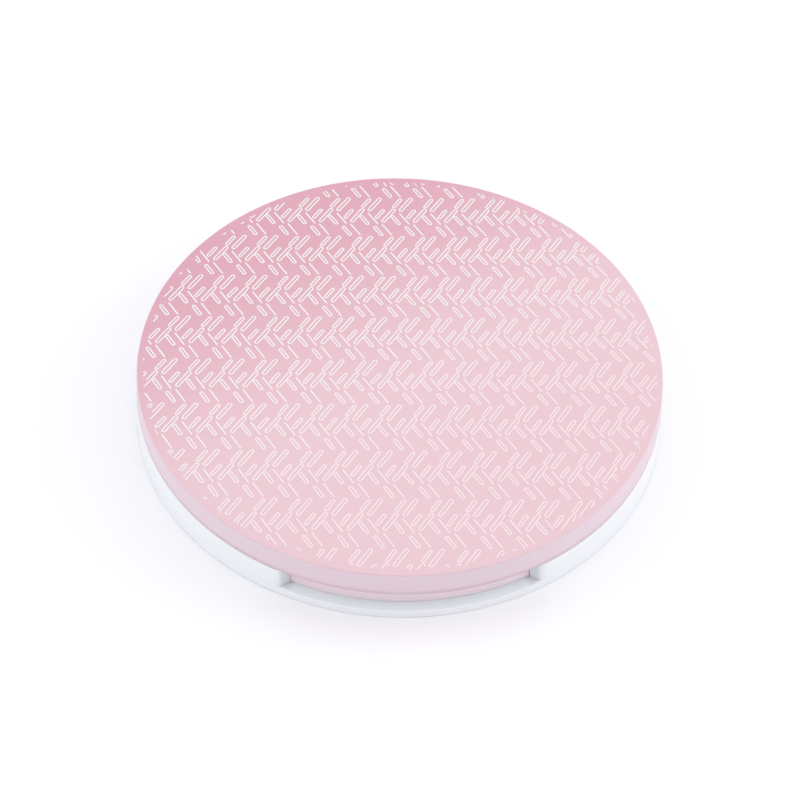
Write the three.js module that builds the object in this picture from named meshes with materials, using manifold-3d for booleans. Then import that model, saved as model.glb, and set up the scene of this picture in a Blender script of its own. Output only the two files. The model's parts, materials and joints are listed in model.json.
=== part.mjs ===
// Round contact lens case: a white base, a hinged pink lid with a mirror, two lens cups with
// turning caps, lens tweezers and an insertion stick.
// Millimetres, +Z up. The hinge is at the back (+Y) and the thumb notch at the front (-Y).
// The origin is under the middle of the base, on the surface that the case stands on.

import * as THREE from 'three';
import { mergeVertices } from 'three/addons/utils/BufferGeometryUtils.js';
import Module from 'manifold-3d';

const wasm = await Module();
wasm.setup();

// ---- Driving dimensions ----

// The closed case
const caseRadius = 44;
const caseHeight = 11;
const baseTop = 5.75;
const lidBottom = 5.95;
const wall = 1.8;
const floorTop = 1.2;
const roundSegments = 96;

// Thumb notch and the lid's tongue behind it
const ledgeTop = 1.8;
const notchHalfAngle = 29.9;
const notchInnerHalfAngle = 28.3;
const tongueOuter = 42;
const tongueThickness = 1.25;
const tongueHalfAngle = 27.9;
const tongueBottom = 2.1;

// Rear hinge
const hingeY = 41.4;
const hingeZ = 6.5;
const knuckleRadius = 1.5;
const boreRadius = 0.8;
const pinRadius = 0.5;
const lidKnuckleHalf = 4.95;
const baseKnuckleFrom = 5.3;
const baseKnuckleTo = 9;
const bayHalf = 15.4;
const bayFront = 39.6;
const bayFloor = 1.9;
const bayWall = 1.3;

// Lid: its web, the face disc on top and the mirror stack
const lidCeiling = 9.6;
const plateSeat = 10.5;
const plateRadius = 43.9;
const mirrorRadius = 36;
const mirrorBottom = 8.3;
const mirrorTop = 9.3;
const padRadius = 34;

// Inner tray
const trayRadius = 40.4;
const trayBack = 38;
const trayWall = 1;
const trayBottom = 1.9;
const deckTop = 4.6;
const deckThickness = 0.9;
const pocketFloor = 1.9;
const pocketUnder = 1.3;
const linerWall = 0.8;

// Lens cups and caps
const cupX = 17;
const cupY = 9;
const cupOuter = 10.3;
const cupInner = 9.3;
const cupBottom = 1.3;
const cupFloor = 2;
const cupRim = 6.45;
const socketRadius = 10.7;
const capOuter = 12.3;
const capInner = 10.9;
const capBottom = 5.2;
const capTop = 7.9;
const capCeiling = 6.85;
const capFlutes = 24;
const fluteDepth = 0.25;

// Tweezers: they lie along X in their pocket
const tweezerY = -15.5;
const tweezerBottom = 2.05;
const tweezerTop = 5.4;
const armRootX = -23.7;
const armRootY = 3.4;
const armEndX = 22.9;
const armThickness = 1.6;

// Insertion stick: it lies along X in its pocket
const stickY = -27;
const stickZ = 4.55;
const stickStart = -22.5;

// ---- Materials ----

function plastic(color, roughness) {
  return new THREE.MeshStandardMaterial({ color, roughness, metalness: 0 });
}

function metal(color, roughness) {
  return new THREE.MeshStandardMaterial({ color, roughness, metalness: 1 });
}

const whitePlastic = plastic(0xeef0f3, 0.4);
const lidPlastic = plastic(0xead0dc, 0.4);
const facePink = plastic(0xeaccd3, 0.45);
const cupPlastic = plastic(0xf3f4f5, 0.35);
const pinkCapPlastic = plastic(0xe8b9c8, 0.4);
const silicone = plastic(0xe9eef2, 0.6);
const adhesive = plastic(0x8f9196, 0.9);
const steel = metal(0xb9bcc0, 0.3);
const mirrorGlass = metal(0xe6eaec, 0.05);

// ---- Solids ----

// Signed volume of a triangle list, which is negative when its faces point inwards.
function signedVolume(position, index) {
  const [a, b, c] = [new THREE.Vector3(), new THREE.Vector3(), new THREE.Vector3()];
  let volume = 0;
  for (let i = 0; i < index.length; i += 3) {
    a.fromBufferAttribute(position, index[i]);
    b.fromBufferAttribute(position, index[i + 1]);
    c.fromBufferAttribute(position, index[i + 2]);
    volume += a.dot(b.cross(c)) / 6;
  }
  return volume;
}

// A closed three.js geometry as a solid that can be joined and cut.
function toSolid(geometry) {
  const bare = geometry.clone();
  bare.deleteAttribute('normal');
  bare.deleteAttribute('uv');
  const merged = mergeVertices(bare, 1e-4);
  const position = merged.getAttribute('position');
  const index = merged.getIndex().array;
  const outward = signedVolume(position, index) > 0;
  const triangles = [];
  for (let i = 0; i < index.length; i += 3) {
    const [a, b, c] = [index[i], index[i + 1], index[i + 2]];
    if (a === b || b === c || c === a) continue;
    triangles.push(a, outward ? b : c, outward ? c : b);
  }
  const mesh = new wasm.Mesh({
    numProp: 3,
    vertProperties: new Float32Array(position.array),
    triVerts: new Uint32Array(triangles),
  });
  return new wasm.Manifold(mesh);
}

function toGeometry(solid) {
  const mesh = solid.getMesh();
  const geometry = new THREE.BufferGeometry();
  geometry.setAttribute('position', new THREE.BufferAttribute(mesh.vertProperties, 3));
  geometry.setIndex(new THREE.BufferAttribute(mesh.triVerts, 1));
  geometry.computeVertexNormals();
  return geometry;
}

function part(name, solid, material) {
  const mesh = new THREE.Mesh(toGeometry(solid), material);
  mesh.name = name;
  return mesh;
}

// Points of an arc in a profile or outline, angles in degrees.
function arc(x, y, radius, fromDeg, toDeg, steps) {
  const points = [];
  for (let i = 0; i <= steps; i += 1) {
    const angle = THREE.MathUtils.degToRad(fromDeg + ((toDeg - fromDeg) * i) / steps);
    points.push([x + radius * Math.cos(angle), y + radius * Math.sin(angle)]);
  }
  return points;
}

// Turns a profile of [radius, height] points round Z. It starts and ends on the axis,
// or is closed by its first point.
function revolve(profile, segments) {
  const points = profile.map(([radius, height]) => new THREE.Vector2(radius, height));
  const onAxis = profile[0][0] === 0 && profile[profile.length - 1][0] === 0;
  if (!onAxis) points.push(points[0].clone());
  const geometry = new THREE.LatheGeometry(points, segments);
  geometry.rotateX(Math.PI / 2);
  return toSolid(geometry);
}

function revolveAlongX(profile, segments, x, y, z) {
  const points = profile.map(([radius, height]) => new THREE.Vector2(radius, height));
  const geometry = new THREE.LatheGeometry(points, segments);
  geometry.rotateZ(-Math.PI / 2);
  geometry.translate(x, y, z);
  return toSolid(geometry);
}

// An outline of [x, y] points, raised from one height to another.
function prism(outline, bottom, top) {
  const shape = new THREE.Shape(outline.map(([x, y]) => new THREE.Vector2(x, y)));
  const geometry = new THREE.ExtrudeGeometry(shape, { depth: top - bottom, bevelEnabled: false });
  geometry.translate(0, 0, bottom);
  return toSolid(geometry);
}

function box(x0, x1, y0, y1, z0, z1) {
  const geometry = new THREE.BoxGeometry(x1 - x0, y1 - y0, z1 - z0);
  geometry.translate((x0 + x1) / 2, (y0 + y1) / 2, (z0 + z1) / 2);
  return toSolid(geometry);
}

function disc(radius, bottom, top, segments) {
  return revolve([[0, bottom], [radius, bottom], [radius, top], [0, top]], segments);
}

function cylinderAlongX(radius, x0, x1, y, z, segments) {
  const geometry = new THREE.CylinderGeometry(radius, radius, x1 - x0, segments);
  geometry.rotateZ(Math.PI / 2);
  geometry.translate((x0 + x1) / 2, y, z);
  return toSolid(geometry);
}

// A block of a ring, centred on the front, with its own half angle at each radius.
function frontSector(inner, outer, innerHalf, outerHalf, bottom, top) {
  const outline = [
    ...arc(0, 0, outer, -90 - outerHalf, -90 + outerHalf, 16),
    ...arc(0, 0, inner, -90 + innerHalf, -90 - innerHalf, 16),
  ];
  return prism(outline, bottom, top);
}

// A rectangle with round corners, centred on x, y.
function roundedOutline(x, y, halfLength, halfWidth, corner) {
  const [dx, dy] = [halfLength - corner, halfWidth - corner];
  return [
    ...arc(x + dx, y - dy, corner, -90, 0, 4),
    ...arc(x + dx, y + dy, corner, 0, 90, 4),
    ...arc(x - dx, y + dy, corner, 90, 180, 4),
    ...arc(x - dx, y - dy, corner, 180, 270, 4),
  ];
}

function mirrorAcrossX(outline) {
  return outline.map(([x, y]) => [x, -y]).reverse();
}

// ---- Base ----

function baseShell() {
  const footRound = 0.6;
  const rimRound = 0.25;
  const seat = 39;
  const inner = caseRadius - wall;
  let solid = revolve([
    [0, 0],
    ...arc(caseRadius - footRound, footRound, footRound, -90, 0, 3),
    ...arc(caseRadius - rimRound, baseTop - rimRound, rimRound, 0, 90, 2),
    [inner, baseTop],
    [inner, ledgeTop],
    [seat, ledgeTop],
    [seat, floorTop],
    [0, floorTop],
  ], roundSegments);
  solid = solid.add(hingeBayBlock());
  solid = solid.subtract(box(-bayHalf, bayHalf, bayFront, caseRadius + 2, bayFloor, baseTop + 1));
  solid = solid.subtract(thumbNotch());
  for (const side of [-1, 1]) solid = solid.add(baseKnuckle(side));
  return solid.subtract(hingeBore());
}

// The block at the back that the hinge bay is cut from.
function hingeBayBlock() {
  const half = bayHalf + bayWall;
  const round = disc(caseRadius - 0.7, floorTop - 0.3, baseTop, roundSegments);
  return round.intersect(box(-half, half, bayFront - bayWall, caseRadius, 0, baseTop + 1));
}

function thumbNotch() {
  const past = 2;
  const splay = (notchHalfAngle - notchInnerHalfAngle) / (caseRadius - tongueOuter);
  const outerHalf = notchHalfAngle + splay * past;
  return frontSector(tongueOuter - 0.1, caseRadius + past, notchInnerHalfAngle, outerHalf,
    ledgeTop, baseTop + 1);
}

function baseKnuckle(side) {
  const xs = [side * baseKnuckleFrom, side * baseKnuckleTo].sort((a, b) => a - b);
  const barrel = cylinderAlongX(knuckleRadius, xs[0], xs[1], hingeY, hingeZ, 20);
  const web = box(xs[0], xs[1], bayFront - 0.1, hingeY + 0.2, bayFloor - 0.4, hingeZ);
  return barrel.add(web);
}

function hingeBore() {
  const half = baseKnuckleTo + 1;
  return cylinderAlongX(boreRadius, -half, half, hingeY, hingeZ, 16);
}

function hingePin() {
  const half = baseKnuckleTo - 0.2;
  const chamfer = 0.12;
  return revolveAlongX([
    [0, 0],
    [pinRadius - chamfer, 0],
    [pinRadius, chamfer],
    [pinRadius, 2 * half - chamfer],
    [pinRadius - chamfer, 2 * half],
    [0, 2 * half],
  ], 16, -half, hingeY, hingeZ);
}

// ---- Lid ----

function lidShell() {
  const topRound = 0.15;
  const bottomRound = 0.4;
  const inner = caseRadius - 1.6;
  let solid = revolve([
    [0, lidCeiling],
    [inner, lidCeiling],
    [inner, lidBottom],
    ...arc(caseRadius - bottomRound, lidBottom + bottomRound, bottomRound, -90, 0, 3),
    ...arc(caseRadius - topRound, plateSeat - topRound, topRound, 0, 90, 2),
    [0, plateSeat],
  ], roundSegments);
  solid = solid.subtract(lidHingeNotch());
  solid = solid.add(lidKnuckle()).add(lidTongue());
  return solid.subtract(hingeBore());
}

// Room in the lid's rear wall for the knuckles.
function lidHingeNotch() {
  const half = baseKnuckleTo + 0.5;
  const top = hingeZ + knuckleRadius + 0.4;
  return box(-half, half, hingeY - 2.1, caseRadius + 1, lidBottom - 1, top);
}

function lidKnuckle() {
  const barrel = cylinderAlongX(knuckleRadius, -lidKnuckleHalf, lidKnuckleHalf, hingeY, hingeZ, 20);
  const web = box(-lidKnuckleHalf, lidKnuckleHalf, hingeY - knuckleRadius, hingeY + knuckleRadius,
    hingeZ, lidCeiling + 0.2);
  return barrel.add(web);
}

// The front tongue fills the thumb notch from inside. A rib on it snaps under the tray's edge.
function lidTongue() {
  const inner = tongueOuter - tongueThickness;
  const rootTop = lidCeiling + 0.2;
  const half = tongueHalfAngle;
  const blade = frontSector(inner, tongueOuter, half, half, tongueBottom, rootTop);
  const root = frontSector(inner, tongueOuter + 0.8, half, half, lidBottom + 0.4, rootTop);
  const rib = frontSector(inner - 0.43, inner + 0.2, 8, 8, tongueBottom + 0.4, tongueBottom + 0.8);
  return blade.add(root).add(rib);
}

function lidTopPlate() {
  const edge = 0.1;
  return revolve([
    [0, plateSeat],
    [plateRadius, plateSeat],
    [plateRadius, caseHeight - edge],
    [plateRadius - edge, caseHeight],
    [0, caseHeight],
  ], roundSegments);
}

function mirrorDisc() {
  const edge = 0.2;
  return revolve([
    [0, mirrorBottom],
    [mirrorRadius - edge, mirrorBottom],
    [mirrorRadius, mirrorBottom + edge],
    [mirrorRadius, mirrorTop],
    [0, mirrorTop],
  ], 64);
}

function mirrorPad() {
  return disc(padRadius, mirrorTop + 0.05, lidCeiling, 48);
}

// L-shaped bezel: its lip holds the mirror's edge.
function mirrorRing() {
  const outer = mirrorRadius + 2.8;
  const inner = mirrorRadius + 0.3;
  const lip = mirrorRadius - 1.1;
  const bottom = mirrorBottom - 0.3;
  const round = 0.4;
  return revolve([
    [lip, bottom],
    ...arc(outer - round, bottom + round, round, -90, 0, 2),
    [outer, lidCeiling - 0.05],
    [inner, lidCeiling - 0.05],
    [inner, mirrorBottom - 0.05],
    [lip, mirrorBottom - 0.05],
  ], 64);
}

// ---- Tray ----

function innerTray() {
  const tweezerPocket = { y: tweezerY, halfLength: 32, halfWidth: 6.1, corner: 3 };
  const stickPocket = { y: stickY, halfLength: 23.5, halfWidth: 3.3, corner: 2.5 };
  let solid = trayBlank();
  for (const side of [-1, 1]) solid = solid.add(socketLiner(side));
  for (const pocket of [tweezerPocket, stickPocket]) {
    solid = solid.add(pocketPrism(pocket, linerWall, pocketUnder, deckTop));
  }
  solid = solid.add(fingerScoop(linerWall, pocketUnder, deckTop));
  for (const side of [-1, 1]) {
    solid = solid.subtract(disc(socketRadius, 0, deckTop + 1, 36).translate(side * cupX, cupY, 0));
  }
  for (const pocket of [tweezerPocket, stickPocket]) {
    solid = solid.subtract(pocketPrism(pocket, 0, pocketFloor, deckTop + 1));
  }
  solid = solid.subtract(fingerScoop(0, pocketFloor, deckTop + 1));
  for (const x of [-17, 11]) solid = solid.add(stickCradle(x));
  return solid;
}

// Deck and skirt, straight at the back where the hinge bay is, with a groove for the rib.
function trayBlank() {
  const back = caseRadius;
  const underDeck = deckTop - deckThickness;
  const outside = disc(trayRadius, trayBottom, deckTop, roundSegments)
    .subtract(box(-back, back, trayBack, back, 0, caseHeight));
  const inside = disc(trayRadius - trayWall, trayBottom - 1, underDeck, roundSegments)
    .subtract(box(-back, back, trayBack - trayWall, back, 0, caseHeight));
  const groove = frontSector(trayRadius - 0.5, trayRadius + 1, 9, 9, trayBottom - 1, tongueBottom + 1.1);
  return outside.subtract(inside).subtract(groove);
}

function socketLiner(side) {
  const liner = disc(socketRadius + linerWall, trayBottom, deckTop, 36);
  return liner.translate(side * cupX, cupY, 0);
}

function pocketPrism({ y, halfLength, halfWidth, corner }, grow, bottom, top) {
  return prism(roundedOutline(0, y, halfLength + grow, halfWidth + grow, corner + grow), bottom, top);
}

// A round recess across both tool pockets, for a finger and thumb.
function fingerScoop(grow, bottom, top) {
  return disc(8 + grow, bottom, top, 36).translate(0, (tweezerY + stickY) / 2, 0);
}

function stickCradle(x) {
  const half = 0.6;
  const reach = 3.4;
  return box(x - half, x + half, stickY - reach, stickY + reach, pocketFloor - 0.2, pocketFloor + 0.55);
}

// ---- Lens cups and caps ----

// A well with a round bottom, a flange that sits on the deck, and a neck for the cap.
function lensCup() {
  const footRound = 1;
  const bowlRound = 3;
  const flange = 12;
  return revolve([
    [0, cupBottom],
    ...arc(cupOuter - footRound, cupBottom + footRound, footRound, -90, 0, 3),
    [cupOuter, deckTop + 0.05],
    [flange, deckTop + 0.05],
    [flange, deckTop + 0.3],
    [cupOuter, deckTop + 0.3],
    [cupOuter, cupRim],
    [cupInner, cupRim],
    ...arc(cupInner - bowlRound, cupFloor + bowlRound, bowlRound, 0, -90, 4),
    [0, cupFloor],
  ], 36);
}

// A fluted cap, with raised pips that tell the left cap from the right one by touch.
function lensCap(pipCount) {
  const topRound = 0.6;
  const pipSpacing = 2.6;
  const body = revolve([
    [0, capCeiling],
    [capInner, capCeiling],
    [capInner, capBottom],
    [capOuter, capBottom],
    ...arc(capOuter - topRound, capTop - topRound, topRound, 0, 90, 3),
    [0, capTop],
  ], 48);
  let solid = body.intersect(prism(flutedOutline(), capBottom - 1, capTop + 1));
  for (let i = 0; i < pipCount; i += 1) {
    const x = (i - (pipCount - 1) / 2) * pipSpacing;
    solid = solid.add(disc(0.7, capTop - 0.2, capTop + 0.15, 16).translate(x, -8, 0));
  }
  return solid;
}

// A circle whose radius dips once for each flute.
function flutedOutline() {
  const pointsPerFlute = 4;
  const count = capFlutes * pointsPerFlute;
  const outline = [];
  for (let i = 0; i < count; i += 1) {
    const angle = (2 * Math.PI * i) / count;
    const radius = capOuter + 0.02 - fluteDepth * (1 - Math.cos(capFlutes * angle)) / 2;
    outline.push([radius * Math.cos(angle), radius * Math.sin(angle)]);
  }
  return outline;
}

function capSeal() {
  const [inner, outer] = [9, 10.6];
  const [bottom, top] = [cupRim + 0.05, capCeiling - 0.05];
  return revolve([[inner, bottom], [outer, bottom], [outer, top], [inner, top]], 36);
}

// ---- Tweezers ----

// A U at the closed end. Each arm starts a small gap after its leg.
function tweezerBow() {
  const centreX = -26;
  const [inner, outer] = [armRootY - armThickness / 2, armRootY + armThickness / 2];
  const legEnd = armRootX - 0.3;
  const outline = [
    [legEnd, outer],
    ...arc(centreX, 0, outer, 90, 270, 10),
    [legEnd, -outer],
    [legEnd, -inner],
    ...arc(centreX, 0, inner, 270, 90, 10),
    [legEnd, inner],
  ];
  return prism(outline, tweezerBottom, tweezerTop);
}

// A bowed strip, from the bow to the soft tip.
function tweezerArm() {
  const curve = new THREE.CatmullRomCurve3([
    new THREE.Vector3(armRootX, armRootY, 0),
    new THREE.Vector3(-6, 4.5, 0),
    new THREE.Vector3(12, 4.7, 0),
    new THREE.Vector3(armEndX, 4, 0),
  ]);
  const steps = 16;
  const upper = [];
  const lower = [];
  for (let i = 0; i <= steps; i += 1) {
    const point = curve.getPoint(i / steps);
    const tangent = curve.getTangent(i / steps);
    const [nx, ny] = [(-tangent.y * armThickness) / 2, (tangent.x * armThickness) / 2];
    upper.push([point.x + nx, point.y + ny]);
    lower.push([point.x - nx, point.y - ny]);
  }
  return [...lower, ...upper.reverse()];
}

// A soft paddle at the arm's end, flat on its gripping side.
function tweezerTip() {
  const start = armEndX + 0.25;
  const end = 31;
  const grip = 2.7;
  const back = 5;
  const nose = (back - grip) / 2;
  return [
    [start, grip + 0.3],
    [start + 1.5, grip],
    ...arc(end - nose, grip + nose, nose, -90, 90, 8),
    [start, back],
  ];
}

function tweezerPiece(outline, side) {
  const placed = side > 0 ? outline : mirrorAcrossX(outline);
  return prism(placed, tweezerBottom, tweezerTop);
}

// ---- Insertion stick ----

function applicatorRod() {
  return revolveAlongX([
    [0, 0],
    [1.2, 0],
    [1.9, 0.8],
    [1.9, 12],
    [1.5, 14.5],
    [1.5, 36.4],
    [0.95, 36.6],
    [0.95, 38.6],
    [0, 38.6],
  ], 20, stickStart, stickY, stickZ);
}

// A soft suction cup: a socket for the rod's spigot at one end, a hollow cone at the other.
function applicatorCup() {
  return revolveAlongX([
    [0, 2.4],
    [1.25, 2.4],
    [1.25, 0],
    [1.9, 0],
    [1.9, 3],
    [2.6, 7],
    [2.35, 7.2],
    [1, 3.7],
    [0, 3.4],
  ], 24, stickStart + 36.8, stickY, stickZ);
}

// ---- Assembly ----

function baseGroup() {
  const group = new THREE.Group();
  group.add(part('base_shell', baseShell(), whitePlastic));
  group.add(part('inner_tray', innerTray(), whitePlastic));
  group.add(part('hinge_pin', hingePin(), steel));
  return group;
}

function lidGroup() {
  const group = new THREE.Group();
  group.add(part('lid_shell', lidShell(), lidPlastic));
  group.add(part('lid_top_plate', lidTopPlate(), facePink));
  group.add(part('mirror_pad', mirrorPad(), adhesive));
  group.add(part('mirror', mirrorDisc(), mirrorGlass));
  group.add(part('mirror_ring', mirrorRing(), whitePlastic));
  return group;
}

function lensWell(name, side, pipCount, capMaterial) {
  const group = new THREE.Group();
  group.add(part(`${name}_well_cup`, lensCup(), cupPlastic));
  group.add(part(`${name}_cap`, lensCap(pipCount), capMaterial));
  group.add(part(`${name}_cap_seal`, capSeal(), silicone));
  group.position.set(side * cupX, cupY, 0);
  return group;
}

function tweezers() {
  const group = new THREE.Group();
  group.add(part('tweezer_bow', tweezerBow(), pinkCapPlastic));
  for (const [name, side] of [['left', 1], ['right', -1]]) {
    group.add(part(`tweezer_${name}_arm`, tweezerPiece(tweezerArm(), side), pinkCapPlastic));
    group.add(part(`tweezer_${name}_tip`, tweezerPiece(tweezerTip(), side), silicone));
  }
  group.position.y = tweezerY;
  return group;
}

function insertionStick() {
  const group = new THREE.Group();
  group.add(part('applicator_rod', applicatorRod(), pinkCapPlastic));
  group.add(part('applicator_cup', applicatorCup(), silicone));
  return group;
}

const lensCase = new THREE.Group();
lensCase.name = 'contact_lens_case';
lensCase.add(baseGroup());
lensCase.add(lidGroup());
lensCase.add(lensWell('left', -1, 1, pinkCapPlastic));
lensCase.add(lensWell('right', 1, 2, cupPlastic));
lensCase.add(tweezers());
lensCase.add(insertionStick());

export default lensCase;
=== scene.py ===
import json
import bpy
import numpy as np
from mathutils import Matrix, Vector


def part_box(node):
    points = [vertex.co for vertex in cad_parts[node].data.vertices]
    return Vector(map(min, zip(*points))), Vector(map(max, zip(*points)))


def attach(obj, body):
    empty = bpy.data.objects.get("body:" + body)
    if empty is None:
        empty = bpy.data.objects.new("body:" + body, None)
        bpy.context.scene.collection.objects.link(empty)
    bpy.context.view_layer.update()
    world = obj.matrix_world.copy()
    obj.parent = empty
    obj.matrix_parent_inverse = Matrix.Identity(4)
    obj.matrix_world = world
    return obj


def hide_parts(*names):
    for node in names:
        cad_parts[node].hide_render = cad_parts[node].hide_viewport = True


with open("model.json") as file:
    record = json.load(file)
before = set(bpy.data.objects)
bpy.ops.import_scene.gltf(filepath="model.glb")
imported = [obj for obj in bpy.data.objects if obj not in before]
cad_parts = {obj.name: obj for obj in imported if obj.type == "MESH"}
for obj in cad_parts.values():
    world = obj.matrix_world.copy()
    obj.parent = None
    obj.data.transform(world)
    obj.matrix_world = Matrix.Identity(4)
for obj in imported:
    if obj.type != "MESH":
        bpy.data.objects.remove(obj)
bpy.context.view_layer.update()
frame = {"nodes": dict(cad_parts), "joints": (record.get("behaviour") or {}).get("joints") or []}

mm = 0.001                      # every shape below is worked out in millimetres
weldGap = 1e-4                  # points closer than this are one point


def boxOf(node):
    low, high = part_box(node)
    return np.array(low) / mm, np.array(high) / mm


caseRadius = boxOf("lid_shell")[1][0]
lidTop = boxOf("lid_top_plate")[1][2]
hinge = [np.array(j["pos_m"]) / mm for j in frame["joints"] if j["name"] == "lid_hinge"][0]
print("frame loaded, case radius", round(float(caseRadius), 2), "mm")


# camera, floor and light

cameraSetup = {
    "elevation": 49.11,         # degrees above the floor
    "turn": -4.34,              # degrees round from straight in front
    "roll": 2.02,
    "distance": 1980.0,         # mm from the middle of the lid's face
    "aimBelow": 4.40,           # mm that the aim lies under the face's middle, in the view
    "lens": 532.9,
}
studio = {
    "floorHalf": 4.0,           # metres
    "floorDrop": 0.00002,       # metres that the floor lies under the foot
    "floorColour": (0.90, 0.902, 0.93), "floorRoughness": 0.9, "floorShine": 0.2,
    "skyColour": (1.0, 1.0, 1.0),
    "skyStrength": 1.08,
    # each softbox: place and size in metres, then its power and colour
    "softboxes": {
        "leftSoftbox": ((-1.5, 0.1, 0.5), (1.2, 0.8), 3.6, (0.985, 1.0, 1.0)),
        "rightSoftbox": ((1.5, 0.2, 0.5), (1.2, 0.8), 6.2, (1.0, 1.0, 0.985)),
    },
}


def addCamera(s):
    elevation, turn, roll = np.radians([s["elevation"], s["turn"], s["roll"]])
    back = np.array([np.sin(turn) * np.cos(elevation), -np.cos(turn) * np.cos(elevation),
                     np.sin(elevation)])
    right = np.array([np.cos(turn), np.sin(turn), 0])
    up = np.cross(back, right)
    rolledRight = np.cos(roll) * right + np.sin(roll) * up
    rolledUp = np.cos(roll) * up - np.sin(roll) * right
    place = np.array([0, 0, lidTop]) + s["distance"] * back - s["aimBelow"] * rolledUp
    camera = bpy.data.objects.new("camera", bpy.data.cameras.new("camera"))
    bpy.context.scene.collection.objects.link(camera)
    turned = Matrix([rolledRight, rolledUp, back]).transposed().to_4x4()
    camera.matrix_world = Matrix.Translation(Vector(place * mm)) @ turned
    camera.data.lens = s["lens"]
    camera.data.clip_start = 0.05
    camera.data.clip_end = 50
    bpy.context.scene.camera = camera


def addSky(s):
    world = bpy.data.worlds.new("studio")
    world.use_nodes = True
    background = world.node_tree.nodes["Background"]
    background.inputs["Color"].default_value = (*s["skyColour"], 1)
    background.inputs["Strength"].default_value = s["skyStrength"]
    bpy.context.scene.world = world
    bpy.context.scene.view_settings.view_transform = "Standard"


def addFloor(s):
    half = s["floorHalf"]
    mesh = bpy.data.meshes.new("floor")
    corners = [(-half, -half), (half, -half), (half, half), (-half, half)]
    mesh.from_pydata([(x, y, -s["floorDrop"]) for x, y in corners], [], [(0, 1, 2, 3)])
    floor = bpy.data.objects.new("floor", mesh)
    bpy.context.scene.collection.objects.link(floor)
    material = bpy.data.materials.new("floorPaper")
    material.use_nodes = True
    shader = material.node_tree.nodes["Principled BSDF"]
    shader.inputs["Base Color"].default_value = (*s["floorColour"], 1)
    shader.inputs["Roughness"].default_value = s["floorRoughness"]
    shader.inputs["Specular IOR Level"].default_value = s["floorShine"]
    mesh.materials.append(material)


def addSoftboxes(s):
    for name, (place, size, power, colour) in s["softboxes"].items():
        lamp = bpy.data.lights.new(name, "AREA")
        lamp.shape = "RECTANGLE"
        lamp.size, lamp.size_y = size
        lamp.energy = power
        lamp.color = colour
        softbox = bpy.data.objects.new(name, lamp)
        softbox.location = place
        softbox.rotation_euler = (-Vector(place)).to_track_quat("-Z", "Y").to_euler()
        bpy.context.scene.collection.objects.link(softbox)


addCamera(cameraSetup)
addSky(studio)
addFloor(studio)
addSoftboxes(studio)
print("camera, sky and floor ready")


# surfaces

def arcRun(x, y, radius, start, end, steps):
    # points on a circle, from one angle in degrees to another
    angle = np.radians(np.linspace(start, end, steps + 1))
    return np.column_stack([x + radius * np.cos(angle), y + radius * np.sin(angle)])


def joinRuns(*runs):
    return np.vstack([np.atleast_2d(np.asarray(run, float)) for run in runs])


def gridFaces(rows, cols, wrapRows, wrapCols):
    # quads between each grid line and the next, with the last joined to the first where it wraps
    index = np.arange(rows * cols).reshape(rows, cols)
    if wrapRows:
        index = np.vstack([index, index[:1]])
    if wrapCols:
        index = np.hstack([index, index[:, :1]])
    corners = [index[:-1, :-1], index[1:, :-1], index[1:, 1:], index[:-1, 1:]]
    return np.stack(corners, -1).reshape(-1, 4)


def weldGrid(points, wrapRows, wrapCols):
    # one closed surface: equal points become one, quads that lose a side become triangles
    flat = points.reshape(-1, 3)
    quads = gridFaces(points.shape[0], points.shape[1], wrapRows, wrapCols)
    _, first, place = np.unique(np.round(flat / weldGap).astype(np.int64), axis=0,
                                return_index=True, return_inverse=True)
    quads = place.reshape(-1)[quads]
    verts = flat[first]
    same = quads == np.roll(quads, -1, 1)
    folded = (quads[:, 0] == quads[:, 2]) | (quads[:, 1] == quads[:, 3])
    whole = quads[(same.sum(1) == 0) & ~folded]
    cut = (same.sum(1) == 1) & ~folded
    order = (same[cut].argmax(1)[:, None] + np.array([0, 2, 3])) % 4
    triangles = np.take_along_axis(quads[cut], order, 1)
    a, b, c, d = (verts[whole[:, i]] for i in range(4))
    volume = np.einsum("ij,ij->", a, np.cross(b, c)) + np.einsum("ij,ij->", a, np.cross(c, d))
    a, b, c = (verts[triangles[:, i]] for i in range(3))
    volume += np.einsum("ij,ij->", a, np.cross(b, c))
    if volume < 0:
        whole, triangles = whole[:, ::-1], triangles[:, ::-1]
    return verts, whole, triangles


def makePiece(name, surfaces, sharp=32):
    # surfaces is a list of (points, wrapRows, wrapCols), each a grid of rows by columns
    allVerts, faces, count = [], [], 0
    for points, wrapRows, wrapCols in surfaces:
        verts, quads, triangles = weldGrid(points, wrapRows, wrapCols)
        faces += (quads + count).tolist() + (triangles + count).tolist()
        allVerts.append(verts)
        count += len(verts)
    mesh = bpy.data.meshes.new(name)
    mesh.from_pydata((np.vstack(allVerts) * mm).tolist(), [], faces)
    mesh.shade_smooth()
    mesh.set_sharp_from_angle(angle=np.radians(sharp))
    mesh.update()
    piece = bpy.data.objects.new(name, mesh)
    bpy.context.scene.collection.objects.link(piece)
    return piece


def revolve(profile, count, centre=(0, 0), ripple=None):
    # each profile point of radius and height goes round the upright axis at centre
    angle = np.linspace(0, 2 * np.pi, count, endpoint=False)[:, None]
    radius = profile[None, :, 0] + (ripple(angle) if ripple else 0)
    x = centre[0] + radius * np.cos(angle)
    y = centre[1] + radius * np.sin(angle)
    z = np.broadcast_to(profile[None, :, 1], x.shape)
    return np.stack([x, y, z], -1)


def revolveAlongX(profile, count, x, y, z):
    # each profile point of radius and distance goes round an axis that runs along X
    angle = np.linspace(0, 2 * np.pi, count, endpoint=False)[:, None]
    along = np.broadcast_to(x + profile[None, :, 1], (count, len(profile)))
    return np.stack([along, y + profile[None, :, 0] * np.cos(angle),
                     z + profile[None, :, 0] * np.sin(angle)], -1)


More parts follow.
